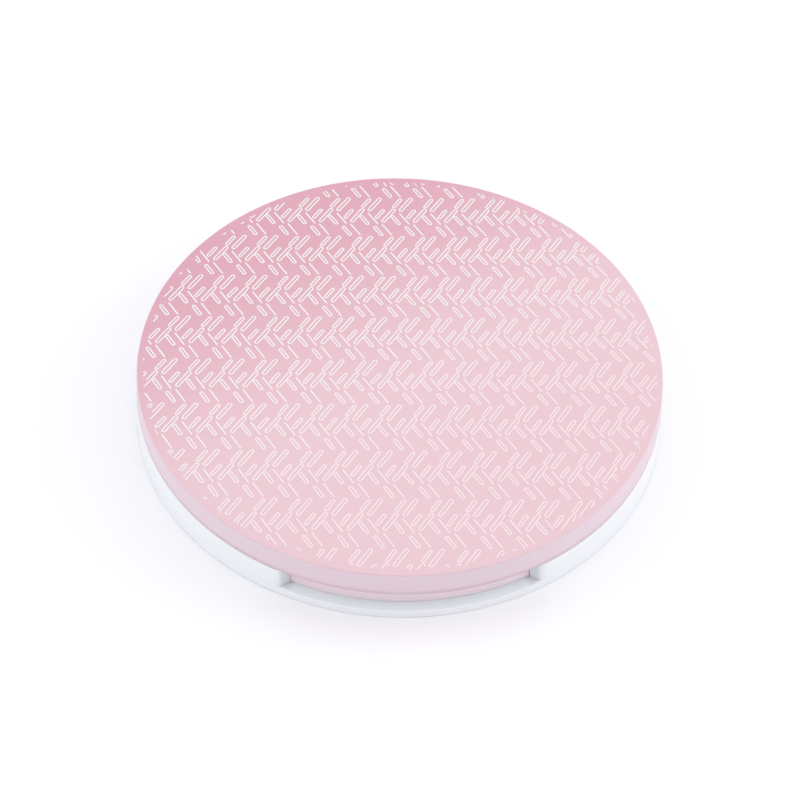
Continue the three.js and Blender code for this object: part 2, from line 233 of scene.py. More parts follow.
def roundEnds(path, half, ends):
    # half width along a path, falling to nothing over a quarter circle at each end
    steps = np.linalg.norm(np.diff(path, axis=0), axis=1)
    run = np.concatenate([[0], np.cumsum(steps)])
    near = np.minimum(run, run[-1] - run)
    fall = 1 - np.clip(near / ends, 0, 1)
    return half - ends + np.sqrt(np.clip(1 - fall ** 2, 0, 1)) * ends


def band(path, half, low, high, edge):
    # an upright strip: a rectangle with round corners carried along a flat path,
    # half wide on each side of it, and closed flat at both ends
    along = np.gradient(path, axis=0)
    along /= np.linalg.norm(along, axis=1)[:, None]
    side = np.column_stack([-along[:, 1], along[:, 0]])
    half = np.broadcast_to(half, len(path))[:, None]
    edge = np.minimum(edge, half)
    turn = np.radians(np.concatenate([np.linspace(q, q + 90, 5) for q in (0, 90, 180, 270)]))
    across = np.sign(np.cos(turn + 1e-9))[None] * (half - edge) + np.cos(turn)[None] * edge
    corner = np.repeat([1, 1, -1, -1], 5)[None]
    middle, reach = (low + high) / 2, (high - low) / 2
    z = middle + corner * (reach - edge) + np.sin(turn)[None] * edge
    ring = np.concatenate([path[:, None] + side[:, None] * across[..., None], z[..., None]], -1)
    start = np.concatenate([path[:1, None].repeat(20, 1), z[:1, :, None]], -1)
    end = np.concatenate([path[-1:, None].repeat(20, 1), z[-1:, :, None]], -1)
    return np.concatenate([start, ring, end], 0)


def frontPoints(radius, turn):
    # flat points at an angle in degrees from the front, towards +X
    angle = np.radians(np.asarray(turn, float))
    return np.column_stack([radius * np.sin(angle), -radius * np.cos(angle)])


def finishPiece(piece, body, slot, material, *nodes):
    piece.data.materials.append(material)
    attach(piece, body)
    if nodes:
        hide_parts(*nodes)
    return piece


# finishes

def addNode(tree, kind, inputs=None, **settings):
    # inputs holds plain values and other nodes' outputs, by socket name or number
    node = tree.nodes.new(kind)
    for key, value in settings.items():
        setattr(node, key, value)
    for key, value in (inputs or {}).items():
        if isinstance(value, bpy.types.NodeSocket):
            tree.links.new(value, node.inputs[key])
        else:
            node.inputs[key].default_value = value
    return node


def newGroup(name, inputs, outputs):
    # a node group with named sockets, and its input and output nodes
    tree = bpy.data.node_groups.new(name, "ShaderNodeTree")
    for label, kind, value in inputs:
        socket = tree.interface.new_socket(label, in_out="INPUT", socket_type=kind)
        socket.default_value = value
    for label, kind in outputs:
        tree.interface.new_socket(label, in_out="OUTPUT", socket_type=kind)
    return tree, tree.nodes.new("NodeGroupInput"), tree.nodes.new("NodeGroupOutput")


def mathNode(tree, operation, a, b=None, clamp=False):
    inputs = {0: a} if b is None else {0: a, 1: b}
    return addNode(tree, "ShaderNodeMath", inputs, operation=operation, use_clamp=clamp).outputs[0]


def mixColours(tree, factor, first, second):
    # the first colour where the factor is 0, the second where it is 1
    inputs = {"Factor": factor, "A": first, "B": second}
    return addNode(tree, "ShaderNodeMix", inputs, data_type="RGBA").outputs["Result"]


def objectCoords(tree):
    return addNode(tree, "ShaderNodeTexCoord").outputs["Object"]


def softStep(tree, value, start, end, falling=False):
    # a smooth rise from 0 at start to 1 at end, or a fall from 1 to 0
    inputs = {"Value": value, "From Min": start, "From Max": end}
    if falling:
        inputs.update({"To Min": 1, "To Max": 0})
    ramp = addNode(tree, "ShaderNodeMapRange", inputs, interpolation_type="SMOOTHSTEP")
    return ramp.outputs["Result"]


def radiusFromAxis(tree, coords):
    # distance from the case's upright axis
    flat = addNode(tree, "ShaderNodeVectorMath", {0: coords, 1: (1, 1, 0)}, operation="MULTIPLY")
    reach = addNode(tree, "ShaderNodeVectorMath", {0: flat.outputs["Vector"]}, operation="LENGTH")
    return reach.outputs["Value"]


def mouldedGroup():
    # moulded plastic: slow clouding of the colour, fine spark texture, handling marks in the gloss
    tree, start, end = newGroup("mouldedSurface", [
        ("Colour", "NodeSocketColor", (0.8, 0.8, 0.8, 1)),
        ("Cloud Colour", "NodeSocketColor", (0.7, 0.7, 0.7, 1)),
        ("Clouding", "NodeSocketFloat", 0.3),
        ("Roughness", "NodeSocketFloat", 0.4),
        ("Marks", "NodeSocketFloat", 0.08),
        ("Texture Scale", "NodeSocketFloat", 5000),
    ], [("Colour", "NodeSocketColor"), ("Roughness", "NodeSocketFloat"), ("Height", "NodeSocketFloat")])
    coords = objectCoords(tree)
    cloud = addNode(tree, "ShaderNodeTexNoise",
                    {"Vector": coords, "Scale": 55, "Detail": 3, "Roughness": 0.55})
    marks = addNode(tree, "ShaderNodeTexNoise",
                    {"Vector": coords, "Scale": 260, "Detail": 5, "Roughness": 0.65, "Distortion": 0.6})
    grain = addNode(tree, "ShaderNodeTexNoise",
                    {"Vector": coords, "Scale": start.outputs["Texture Scale"], "Detail": 2,
                     "Roughness": 0.5})
    amount = mathNode(tree, "MULTIPLY", cloud.outputs["Fac"], start.outputs["Clouding"], True)
    clouded = mixColours(tree, amount, start.outputs["Colour"], start.outputs["Cloud Colour"])
    centred = mathNode(tree, "SUBTRACT", marks.outputs["Fac"], 0.5)
    spread = mathNode(tree, "MULTIPLY", centred, start.outputs["Marks"])
    doubled = mathNode(tree, "MULTIPLY", spread, 2.0)
    rough = mathNode(tree, "ADD", doubled, start.outputs["Roughness"], True)
    tree.links.new(clouded, end.inputs["Colour"])
    tree.links.new(rough, end.inputs["Roughness"])
    tree.links.new(grain.outputs["Fac"], end.inputs["Height"])
    return tree


def edgeGroup():
    # rubbed edges and painted edge highlights: a mask that rises where the surface turns outwards, broken up
    # by noise
    tree, start, end = newGroup("rubbedEdgesAndHighlights", [
        ("Amount", "NodeSocketFloat", 0.5),
        ("Break Up", "NodeSocketFloat", 900),
    ], [("Mask", "NodeSocketFloat")])
    shape = addNode(tree, "ShaderNodeNewGeometry")
    noise = addNode(tree, "ShaderNodeTexNoise",
                    {"Vector": objectCoords(tree), "Scale": start.outputs["Break Up"], "Detail": 3})
    rise = addNode(tree, "ShaderNodeMapRange",
                   {"Value": shape.outputs["Pointiness"], "From Min": 0.52, "From Max": 0.62})
    broken = mathNode(tree, "MULTIPLY", rise.outputs["Result"], noise.outputs["Fac"])
    mask = mathNode(tree, "MULTIPLY", broken, start.outputs["Amount"], True)
    tree.links.new(mask, end.inputs["Mask"])
    return tree


def lowShadeGroup():
    # painted shade: a darker tinted band low on a wall, full below one height, gone above another, outside
    # one radius
    tree, start, end = newGroup("paintedLowShadeBand", [
        ("Full Below", "NodeSocketFloat", 0.001),
        ("Gone Above", "NodeSocketFloat", 0.002),
        ("From Radius", "NodeSocketFloat", 0.04),
        ("Amount", "NodeSocketFloat", 0.5),
    ], [("Mask", "NodeSocketFloat")])
    coords = objectCoords(tree)
    height = addNode(tree, "ShaderNodeSeparateXYZ", {"Vector": coords}).outputs["Z"]
    fall = softStep(tree, height, start.outputs["Full Below"], start.outputs["Gone Above"], True)
    radius = radiusFromAxis(tree, coords)
    outside = mathNode(tree, "GREATER_THAN", radius, start.outputs["From Radius"])
    noise = addNode(tree, "ShaderNodeTexNoise", {"Vector": coords, "Scale": 130, "Detail": 3})
    uneven = mathNode(tree, "ADD", mathNode(tree, "MULTIPLY", noise.outputs["Fac"], 0.4), 0.8)
    dirty = mathNode(tree, "MULTIPLY", mathNode(tree, "MULTIPLY", fall, outside), uneven)
    mask = mathNode(tree, "MULTIPLY", dirty, start.outputs["Amount"], True)
    tree.links.new(mask, end.inputs["Mask"])
    return tree


def cornerGroup():
    # painted light and shade round the front notch: a tinted sector that rises from the angle off the front
    # where it is nothing to the full angle, and falls from the full radius to the radius where it is nothing
    tree, start, end = newGroup("notchPaintedLightAndShade", [
        ("Untinted Angle", "NodeSocketFloat", 0.47),
        ("Full Angle", "NodeSocketFloat", 0.5),
        ("Full Radius", "NodeSocketFloat", 0.0432),
        ("Untinted Radius", "NodeSocketFloat", 0.0439),
        ("Amount", "NodeSocketFloat", 0.5),
    ], [("Mask", "NodeSocketFloat")])
    coords = objectCoords(tree)
    split = addNode(tree, "ShaderNodeSeparateXYZ", {"Vector": coords})
    across = mathNode(tree, "ABSOLUTE", split.outputs["X"])
    ahead = mathNode(tree, "MULTIPLY", split.outputs["Y"], -1.0)
    angle = mathNode(tree, "ARCTAN2", across, ahead)
    sideways = softStep(tree, angle, start.outputs["Untinted Angle"], start.outputs["Full Angle"])
    inwards = softStep(tree, radiusFromAxis(tree, coords), start.outputs["Full Radius"],
                       start.outputs["Untinted Radius"], True)
    both = mathNode(tree, "MULTIPLY", sideways, inwards)
    mask = mathNode(tree, "MULTIPLY", both, start.outputs["Amount"], True)
    tree.links.new(mask, end.inputs["Mask"])
    return tree


moulded = mouldedGroup()
wornAndLitEdges = edgeGroup()
paintedLowShade = lowShadeGroup()
notchPaintedLightAndShade = cornerGroup()


def plasticFinish(name, f):
    # f holds the colours and numbers of one moulded finish
    material = bpy.data.materials.new(name)
    material.use_nodes = True
    tree = material.node_tree
    shader = tree.nodes["Principled BSDF"]
    shader.inputs["IOR"].default_value = 1.5
    shader.inputs["Subsurface Weight"].default_value = f.get("glow", 0)
    shader.inputs["Subsurface Radius"].default_value = f.get("glowRadius", (1, 0.7, 0.6))
    shader.inputs["Subsurface Scale"].default_value = f.get("glowScale", 0.0006)
    shader.inputs["Coat Weight"].default_value = f.get("coat", 0)
    shader.inputs["Coat Roughness"].default_value = f.get("coatRoughness", 0.1)
    surface = addNode(tree, "ShaderNodeGroup", {
        "Colour": (*f["colour"], 1), "Cloud Colour": (*f["cloud"], 1),
        "Clouding": f.get("clouding", 0.3), "Roughness": f["roughness"],
        "Marks": f.get("marks", 0.08), "Texture Scale": f.get("textureScale", 5000),
    }, node_tree=moulded)
    edges = addNode(tree, "ShaderNodeGroup", {"Amount": f.get("wearAndHighlight", 0.3)}, node_tree=wornAndLitEdges)
    # edges turn to the lighter edge colour: part wear, part painted highlight
    colour = mixColours(tree, edges.outputs["Mask"], surface.outputs["Colour"], (*f["edge"], 1))
    # painted shade: each band darkens the colour low on a wall
    for low, high, radius, amount, tint in f.get("paintedLowShade", []):
        foot = addNode(tree, "ShaderNodeGroup", {
            "Full Below": low, "Gone Above": high, "From Radius": radius, "Amount": amount,
        }, node_tree=paintedLowShade)
        colour = mixColours(tree, foot.outputs["Mask"], colour, (*tint, 1))
    # painted light and shade round the notch, each sector mixed over the colour
    for untintedTurn, fullTurn, fullRadius, untintedRadius, amount, tint in f.get("sectors", []):
        sector = addNode(tree, "ShaderNodeGroup", {
            "Untinted Angle": np.radians(untintedTurn), "Full Angle": np.radians(fullTurn),
            "Full Radius": fullRadius, "Untinted Radius": untintedRadius, "Amount": amount,
        }, node_tree=notchPaintedLightAndShade)
        colour = mixColours(tree, sector.outputs["Mask"], colour, (*tint, 1))
    tree.links.new(colour, shader.inputs["Base Color"])
    tree.links.new(surface.outputs["Roughness"], shader.inputs["Roughness"])
    bump = addNode(tree, "ShaderNodeBump", {"Height": surface.outputs["Height"],
                                            "Strength": f.get("bump", 0.15), "Distance": 0.00002})
    tree.links.new(bump.outputs["Normal"], shader.inputs["Normal"])
    return material


def sheenAcross(tree, start, end):
    # painted sheen: 0 towards the back left of the lid, rising to 1 towards the front right, between two
    # distances in metres from the middle
    dot = addNode(tree, "ShaderNodeVectorMath", {0: objectCoords(tree), 1: (0.5, -0.866, 0)},
                  operation="DOT_PRODUCT")
    return softStep(tree, dot.outputs["Value"], start, end)


def paintedSheenFinish(name, f):
    # a moulded finish whose colour changes from its back colour to its own across the lid: painted sheen and
    # glint, as the light falls across the face
    material = plasticFinish(name, f)
    tree = material.node_tree
    surface = [n for n in tree.nodes if n.type == "GROUP" and n.node_tree == moulded][0]
    fade = sheenAcross(tree, f["fadeStart"], f["fadeEnd"])
    colour = mixColours(tree, fade, (*f["backColour"], 1), (*f["colour"], 1))
    tree.links.new(colour, surface.inputs["Colour"])
    return material


def metalFinish(name, f):
    # bright metal whose colour and gloss change with one noise, drawn out along its stretch
    material = bpy.data.materials.new(name)
    material.use_nodes = True
    tree = material.node_tree
    shader = tree.nodes["Principled BSDF"]
    shader.inputs["Metallic"].default_value = 1
    mapping = addNode(tree, "ShaderNodeMapping", {"Vector": objectCoords(tree), "Scale": f["stretch"]})
    noise = addNode(tree, "ShaderNodeTexNoise",
                    {"Vector": mapping.outputs["Vector"], "Scale": f["scale"], "Detail": 4})
    colour = mixColours(tree, noise.outputs["Fac"], (*f["colour"], 1), (*f["dark"], 1))
    tree.links.new(colour, shader.inputs["Base Color"])
    rough = addNode(tree, "ShaderNodeMapRange",
                    {"Value": noise.outputs["Fac"], "To Min": f["smooth"], "To Max": f["rough"]})
    tree.links.new(rough.outputs["Result"], shader.inputs["Roughness"])
    return material


finishes = {
    "white": {"colour": (0.735, 0.75, 0.78), "cloud": (0.71, 0.727, 0.757), "edge": (0.82, 0.832, 0.855),
              "roughness": 0.36, "marks": 0.06, "glow": 0.12, "glowRadius": (0.8, 0.9, 1.0),
              "textureScale": 9000, "bump": 0.1, "wearAndHighlight": 0.3},
    "base": {"colour": (0.770, 0.783, 0.815), "cloud": (0.754, 0.768, 0.80), "edge": (0.93, 0.945, 0.965),
             "roughness": 0.36, "marks": 0.06, "glow": 0.12, "glowRadius": (0.8, 0.9, 1.0),
             "textureScale": 9000, "bump": 0.1, "wearAndHighlight": 0.3,
             # each band of painted shade, here darker towards the base's foot: full below, gone above and
             # from what radius in metres, amount, tint
             "paintedLowShade": [(0.0008, 0.0035, 0.0425, 0.12, (0.66, 0.69, 0.75))],
             # each sector, first painted light that makes the notch's ledge brighter and bluer, then painted
             # shade on its side walls and on the inside of the wall beyond them: untinted and full angle in
             # degrees, full and untinted radius in metres, amount, tint
             "sectors": [(28.2, 26.4, 0.0436, 0.0439, 1.0, (0.82, 0.915, 0.95)),
                         (27.0, 28.8, 0.0432, 0.0439, 0.32, (0.42, 0.45, 0.52))]},
    "lid": {"colour": (0.679, 0.547, 0.613), "cloud": (0.661, 0.533, 0.60),
            # painted shade: a darker band along the lid's lower edge, where it turns under, in place of the
            # shadow line at the seam
            "paintedLowShade": [(0.0063, 0.0071, 0.0425, 0.75, (0.56, 0.40, 0.45))], "edge": (0.85, 0.70, 0.77),
            "roughness": 0.4, "marks": 0.06, "glow": 0.1, "glowRadius": (1, 0.6, 0.7),
            "textureScale": 9000, "bump": 0.1, "wearAndHighlight": 0.25},
    # the tongue: a paler copy of the lid's pink, painted light for the tongue that sits in the shaded notch
    "tongue": {"colour": (0.79, 0.65, 0.70), "cloud": (0.77, 0.63, 0.68), "edge": (0.85, 0.74, 0.79),
               "roughness": 0.4, "marks": 0.06, "glow": 0.1, "glowRadius": (1, 0.6, 0.7),
               "textureScale": 9000, "bump": 0.1, "wearAndHighlight": 0.25},
    # face and ink: the back colours and their fade are painted light, the film lighter towards the front
    # right as a painted sheen, the print's lines whiter towards the back left as a painted glint
    "face": {"colour": (0.712, 0.498, 0.553), "backColour": (0.632, 0.318, 0.402),
             "cloud": (0.69, 0.48, 0.535), "clouding": 0.15, "edge": (0.77, 0.55, 0.61),
             "roughness": 0.42, "marks": 0.06,
             "fadeStart": -0.042, "fadeEnd": 0.006, "textureScale": 12000, "bump": 0.06, "wearAndHighlight": 0.1},
    "ink": {"colour": (0.81, 0.68, 0.715), "backColour": (0.79, 0.82, 0.81), "cloud": (0.79, 0.72, 0.735),
            "clouding": 0.15, "edge": (0.81, 0.77, 0.78), "roughness": 0.5, "marks": 0.05,
            "fadeStart": -0.038, "fadeEnd": 0.03, "textureScale": 15000, "bump": 0.1, "wearAndHighlight": 0.1},
    "cup": {"colour": (0.715, 0.732, 0.755), "cloud": (0.69, 0.71, 0.735), "edge": (0.81, 0.82, 0.84),
            "roughness": 0.25, "marks": 0.06, "glow": 0.3, "glowRadius": (1, 1, 1), "glowScale": 0.001,
            "textureScale": 9000, "bump": 0.06},
    "pink": {"colour": (0.70, 0.385, 0.47), "cloud": (0.68, 0.375, 0.46), "edge": (0.78, 0.53, 0.59),
             "roughness": 0.35, "marks": 0.07, "glow": 0.12, "textureScale": 9000, "bump": 0.1, "wearAndHighlight": 0.35},
    "silicone": {"colour": (0.66, 0.69, 0.72), "cloud": (0.62, 0.65, 0.69), "edge": (0.74, 0.76, 0.79),
                 "roughness": 0.6, "marks": 0.12, "glow": 0.5, "glowRadius": (1, 1, 1),
                 "glowScale": 0.0015, "textureScale": 6000, "bump": 0.2, "wearAndHighlight": 0.1},
    "foam": {"colour": (0.28, 0.285, 0.30), "cloud": (0.2, 0.2, 0.22), "edge": (0.35, 0.35, 0.37),
             "roughness": 0.9, "marks": 0.1, "clouding": 0.6, "textureScale": 3500, "bump": 0.8},
    "steel": {"colour": (0.62, 0.63, 0.65), "dark": (0.45, 0.46, 0.48), "stretch": (0.05, 1, 1),
              "scale": 9000, "smooth": 0.22, "rough": 0.42},
    "mirror": {"colour": (0.82, 0.845, 0.85), "dark": (0.79, 0.815, 0.82), "stretch": (1, 1, 1),
               "scale": 120, "smooth": 0.015, "rough": 0.05},
}
whitePlastic = plasticFinish("whitePlastic", finishes["white"])
basePlastic = plasticFinish("basePlastic", finishes["base"])
lidPlastic = plasticFinish("lidPlastic", finishes["lid"])
tongueLitPlastic = plasticFinish("tongueLitPlastic", finishes["tongue"])
faceFilm = paintedSheenFinish("faceFilm", finishes["face"])
faceInk = paintedSheenFinish("faceInk", finishes["ink"])
cupPlastic = plasticFinish("cupPlastic", finishes["cup"])
pinkPlastic = plasticFinish("pinkPlastic", finishes["pink"])
silicone = plasticFinish("silicone", finishes["silicone"])
foamTape = plasticFinish("foamTape", finishes["foam"])
drawnSteel = metalFinish("drawnSteel", finishes["steel"])
silvered = metalFinish("silvered", finishes["mirror"])
print("finishes ready")


# shells with a lip

def lippedShell(stations, lip, head, tail, step, edge):
    # A round shell whose rim can be cut away. A station gives three flat points: skirt, on the
    # full circle, then outer and inner, on the two sides of the rim. The head profile follows
    # the skirt, the lip profile runs over the rim from outer to inner, and the tail profile
    # goes from inner to the middle. Where a station is cut, the lip is a straight line at the
    # height step. edge is the small round between the skirt and the rim.
    wallThick = 1.8             # the rim's width in mm, to weigh shares across it against heights
    skirt, outer, inner, cut = stations
    length = np.linalg.norm(skirt, axis=1)[:, None]
    columns = []
    for radius, z in head:
        columns.append((skirt * (radius / length), z))
    gap = np.linalg.norm(outer - skirt, axis=1)[:, None]
    towards = (outer - skirt) / np.maximum(gap, 1e-9)
    for turn in np.radians([0, 30, 60, 90]):
        reach = np.minimum(edge, gap) * (1 - np.cos(turn))
        columns.append((skirt + towards * reach, step - np.sign(step - head[-1][1]) * edge
                        * (1 - np.sin(turn))))
    run = np.concatenate([[0], np.cumsum(np.linalg.norm(np.diff(lip * [wallThick, 1], axis=0), axis=1))])
    share = run / run[-1]
    for (across, z), straight in zip(lip, share):
        w = np.where(cut, straight, across)[:, None]
        columns.append((outer + (inner - outer) * w, np.where(cut, step, z)))
    innerLength = np.linalg.norm(inner, axis=1)[:, None]
    for radius, z in tail:
        columns.append((inner * np.minimum(1, radius / innerLength), z))
    grid = [np.column_stack([flat, np.broadcast_to(z, len(flat))]) for flat, z in columns]
    return np.stack(grid, 1)


def bothSides(skirt, outer, inner, cut):
    # the right half's stations from front to back, then the left half's from back to front
    def mirrored(points):
        return np.vstack([points, points[-2:0:-1] * [-1, 1]])
    return mirrored(skirt), mirrored(outer), mirrored(inner), np.concatenate([cut, cut[-2:0:-1]])


def curveRound(start, corner, end, steps):
    # a quadratic curve from start to end, pulled towards the corner
    t = np.linspace(0, 1, steps + 1)[:, None]
    return (1 - t) ** 2 * start + 2 * t * (1 - t) * corner + t ** 2 * end


def knuckle(low, high, bore, radius, web, edge):
    # a hinge knuckle round the pin's axis: its outline is the barrel or the web's box, whichever
    # reaches further from the axis at each angle, drawn out along X with small round edges
    webBack, webFront, webLow, webHigh = web
    turn = np.linspace(0, 2 * np.pi, 180, endpoint=False)
    c, s = np.cos(turn), np.sin(turn)
    reachY = np.where(c > 0, webFront, -webBack) / np.maximum(np.abs(c), 1e-9)
    reachZ = np.where(s > 0, webHigh, -webLow) / np.maximum(np.abs(s), 1e-9)
    outline = np.maximum(radius, np.minimum(reachY, reachZ))[:, None]
    shrink = np.array([np.nan, edge, edge * 0.3, 0, 0, edge * 0.3, edge, np.nan])
    x = np.array([low, low, low + edge * 0.3, low + edge, high - edge, high - edge * 0.3, high, high])
    rho = np.where(np.isnan(shrink), bore, outline - np.nan_to_num(shrink))
    y = hinge[1] + rho * c[:, None]
    z = hinge[2] + rho * s[:, None]
    return np.stack([np.broadcast_to(x, y.shape), y, z], -1)


# base

base = {
    "rimTop": 5.82, "wall": 1.8, "ledge": 1.8, "floor": 1.2, "seat": 39.0,
    "footRound": 0.3, "rimRound": 0.16, "ledgeRound": 0.18,
    "groove": (37.4, 38.4, 0.2),    # inner radius, outer radius and depth of the groove in the foot
    "notchHalf": 29.9, "notchInnerHalf": 28.2, "cornerRound": 1.0,
    "bayHalf": 15.4, "bayFront": 39.6, "bayWall": 1.3, "bayRound": 0.4,
    "knuckleFrom": 5.3, "knuckleTo": 9.0, "knuckle": 1.5, "knuckleEdge": 0.2, "bore": 0.8,
    "webFront": 0.2, "webIntoWall": 0.1, "webIntoLedge": 0.3,
}


def baseStations(b):
    # the base's wall seen from above: the notch, the plain wall, then the hinge bay
    ringInner = caseRadius - b["wall"]
    splay = (b["notchHalf"] - b["notchInnerHalf"]) / b["wall"]
    roundStart = caseRadius - b["cornerRound"] * 0.7
    roundTurn = np.degrees(b["cornerRound"] / caseRadius)

    def splayTurn(radius):
        return b["notchInnerHalf"] + splay * (radius - ringInner)

    # inside the notch, up to its side wall
    t = np.linspace(0, 1, 31)
    skirt = [frontPoints(caseRadius, b["notchHalf"] * t)]
    outer = [frontPoints(roundStart, splayTurn(roundStart) * t)]
    inner = [frontPoints(ringInner, b["notchInnerHalf"] * t)]
    cut = [np.ones(31, bool)]
    # the side wall's round outer corner
    corner = frontPoints(caseRadius, [b["notchHalf"]])
    t = np.linspace(0, 1, 9)
    skirt.append(frontPoints(caseRadius, b["notchHalf"] + roundTurn * t))
    outer.append(curveRound(frontPoints(roundStart, [splayTurn(roundStart)]), corner,
                            frontPoints(caseRadius, [b["notchHalf"] + roundTurn]), 8))
    inner.append(frontPoints(ringInner, b["notchInnerHalf"] + roundTurn * t))
    cut.append(np.zeros(9, bool))
    # the plain wall, up to the hinge bay
    bayTurn = 180 - np.degrees(np.arcsin((b["bayHalf"] + b["bayRound"]) / caseRadius))
    turn = np.linspace(b["notchHalf"] + roundTurn, bayTurn, 150)[1:]
    lag = (b["notchHalf"] - b["notchInnerHalf"]) * np.exp(-(turn - b["notchHalf"]) / 4)
    bayBack = b["bayFront"] - b["bayWall"]
    ring = frontPoints(ringInner, turn - lag)
    skirt.append(frontPoints(caseRadius, turn))
    outer.append(frontPoints(caseRadius, turn))
    inner.append(np.column_stack([ring[:, 0], np.minimum(ring[:, 1], bayBack)]))
    cut.append(np.zeros(len(turn), bool))
    # the bay's outer corner, its side and its flat front
    last = inner[-1][-1]
    edgeY = np.sqrt(caseRadius ** 2 - b["bayHalf"] ** 2)
    corner = np.array([b["bayHalf"], edgeY])
    rounded = curveRound(skirt[-1][-1], corner, corner - [0, b["bayRound"]], 5)[1:]
    flat = np.linspace(b["bayHalf"], 0, 40)
    outer.append(np.vstack([rounded, np.column_stack([flat, np.full(40, b["bayFront"])])]))
    skirtX = np.concatenate([np.linspace(skirt[-1][-1][0], b["bayHalf"], 6)[1:], flat])
    skirt.append(np.column_stack([skirtX, np.sqrt(caseRadius ** 2 - skirtX ** 2)]))
    innerX = last[0] * skirtX / (b["bayHalf"] + b["bayRound"])
    inner.append(np.column_stack([innerX, np.full(len(innerX), bayBack)]))
    cut.append(np.zeros(len(skirtX), bool))
    return bothSides(np.vstack(skirt), np.vstack(outer), np.vstack(inner), np.concatenate(cut))


def baseShell(b):
    # the foot, wall and floor with the notch and bay cut out, and the two hinge knuckles
    top, ledge = b["rimTop"], b["ledge"]
    rimShare = b["rimRound"] / b["wall"]
    lip = joinRuns(
        [[0, ledge], [0, ledge + 1.5], [0, ledge + 3]],
        np.array([[0, top]]) + (arcRun(1, -1, 1, 180, 90, 4) * [rimShare, b["rimRound"]]),
        [[0.35, top], [0.65, top]],
        np.array([[1, top]]) + (arcRun(-1, -1, 1, 90, 0, 4) * [rimShare * 0.6, b["rimRound"] * 0.6]),
        [[1, ledge + 2], [1, ledge]],
    )
    foot = b["footRound"]
    grooveInner, grooveOuter, deep = b["groove"]
    head = joinRuns(
        [[0, 0], [grooveInner, 0], [grooveInner + deep, deep], [grooveOuter - deep, deep],
         [grooveOuter, 0], [41, 0]],
        arcRun(caseRadius - foot, foot, foot, -90, 0, 8),
        [[caseRadius, ledge - b["ledgeRound"] - 0.2]],
    )
    tail = [[b["seat"], ledge], [b["seat"], b["floor"]], [20, b["floor"]], [0, b["floor"]]]
    surfaces = [(lippedShell(baseStations(b), lip, head, tail, ledge, b["ledgeRound"]), True, False)]
    web = (b["bayFront"] - b["webIntoWall"] - hinge[1], b["webFront"],
           b["ledge"] - b["webIntoLedge"] - hinge[2], 0)
    for side in (-1, 1):
        low, high = sorted((side * b["knuckleFrom"], side * b["knuckleTo"]))
        grid = knuckle(low, high, b["bore"], b["knuckle"], web, b["knuckleEdge"])
        surfaces.append((grid, True, True))
    return makePiece("baseShell", surfaces)


finishPiece(baseShell(base), "base", "white_plastic", basePlastic, "base_shell")
print("base ready")


# lid

lid = {
    "bottom": 5.88, "wall": 1.6, "ceiling": 9.6, "top": 10.66, "topRound": 0.05,
    "bottomRound": 0.3, "ceilingRound": 0.4,
    "hingeNotchHalf": 9.5, "hingeNotchTop": 8.4, "knuckleHalf": 4.95, "webHalf": 1.5,
    "webIntoCeiling": 0.2,
    "tongueOuter": 42.0, "tongueThick": 1.25, "tongueHalf": 28.5, "tongueBottom": 1.84,
    "tongueRoot": 0.02, "tongueEnds": 0.1, "tongueEdge": 0.15,
    "ribHalf": 8.0, "ribReach": 0.43, "ribRoot": 0.2, "ribLow": 0.45, "ribHigh": 0.85, "ribEnds": 0.2,
}


def lidStations(s):
    # the full ring, marked as cut across the hinge notch at the back
    ringInner = caseRadius - s["wall"]
    half = s["hingeNotchHalf"]
    outerStop = 180 - np.degrees(np.arcsin(half / caseRadius))
    innerStop = 180 - np.degrees(np.arcsin(half / ringInner))
    t = np.linspace(0, 1, 170)
    outer = frontPoints(caseRadius, outerStop * t)
    inner = frontPoints(ringInner, innerStop * t)
    x = np.linspace(half, 0, 20)
    outer = np.vstack([outer, np.column_stack([x, np.sqrt(caseRadius ** 2 - x ** 2)])])
    inner = np.vstack([inner, np.column_stack([x, np.sqrt(ringInner ** 2 - x ** 2)])])
    cut = np.concatenate([np.zeros(170, bool), np.ones(20, bool)])
    return bothSides(outer, outer, inner, cut)


def tongueBand(s, inner, outer, half, low, high, ends):
    # a strip of a ring round the front, with round ends and finer steps near them, in degrees
    inside = half - 1.2
    turn = np.concatenate([np.linspace(-half, -inside, 9)[:-1], np.linspace(-inside, inside, 70),
                           np.linspace(inside, half, 9)[1:]])
    path = frontPoints((inner + outer) / 2, turn)
    return band(path, roundEnds(path, (outer - inner) / 2, ends), low, high, s["tongueEdge"])


def lidShell(s):
    # the lid's top, wall and ceiling, and the hinge barrel between the base's knuckles
    step = s["hingeNotchTop"]
    top = s["topRound"]
    low = s["bottom"]
    share = s["bottomRound"] / s["wall"]
    head = joinRuns(
        [[0, s["top"]], [20, s["top"]], [42, s["top"]]],
        arcRun(caseRadius - top, s["top"] - top, top, 90, 0, 4),
        [[caseRadius, step + 0.6]],
    )
    lip = joinRuns(
        [[0, step], [0, low + 1.2]],
        np.array([[0, low]]) + arcRun(1, 1, 1, 180, 270, 8) * [share, s["bottomRound"]],
        [[0.6, low], [0.9, low]],
        np.array([[1, low]]) + arcRun(-1, 1, 1, 270, 360, 3) * [0.1, 0.16],
        [[1, step]],
    )
    inner = caseRadius - s["wall"]
    fillet = s["ceilingRound"]
    tail = joinRuns([[inner, s["ceiling"] - fillet]],
                    arcRun(inner - fillet, s["ceiling"] - fillet, fillet, 0, 90, 5)[1:],
                    [[20, s["ceiling"]], [0, s["ceiling"]]])
    surfaces = [(lippedShell(lidStations(s), lip, head, tail, step, 0.05), True, False)]
    web = (-s["webHalf"], s["webHalf"], 0, s["ceiling"] + s["webIntoCeiling"] - hinge[2])
    grid = knuckle(-s["knuckleHalf"], s["knuckleHalf"], base["bore"], base["knuckle"], web,
                   base["knuckleEdge"])
    surfaces.append((grid, True, True))
    return makePiece("lidShell", surfaces)


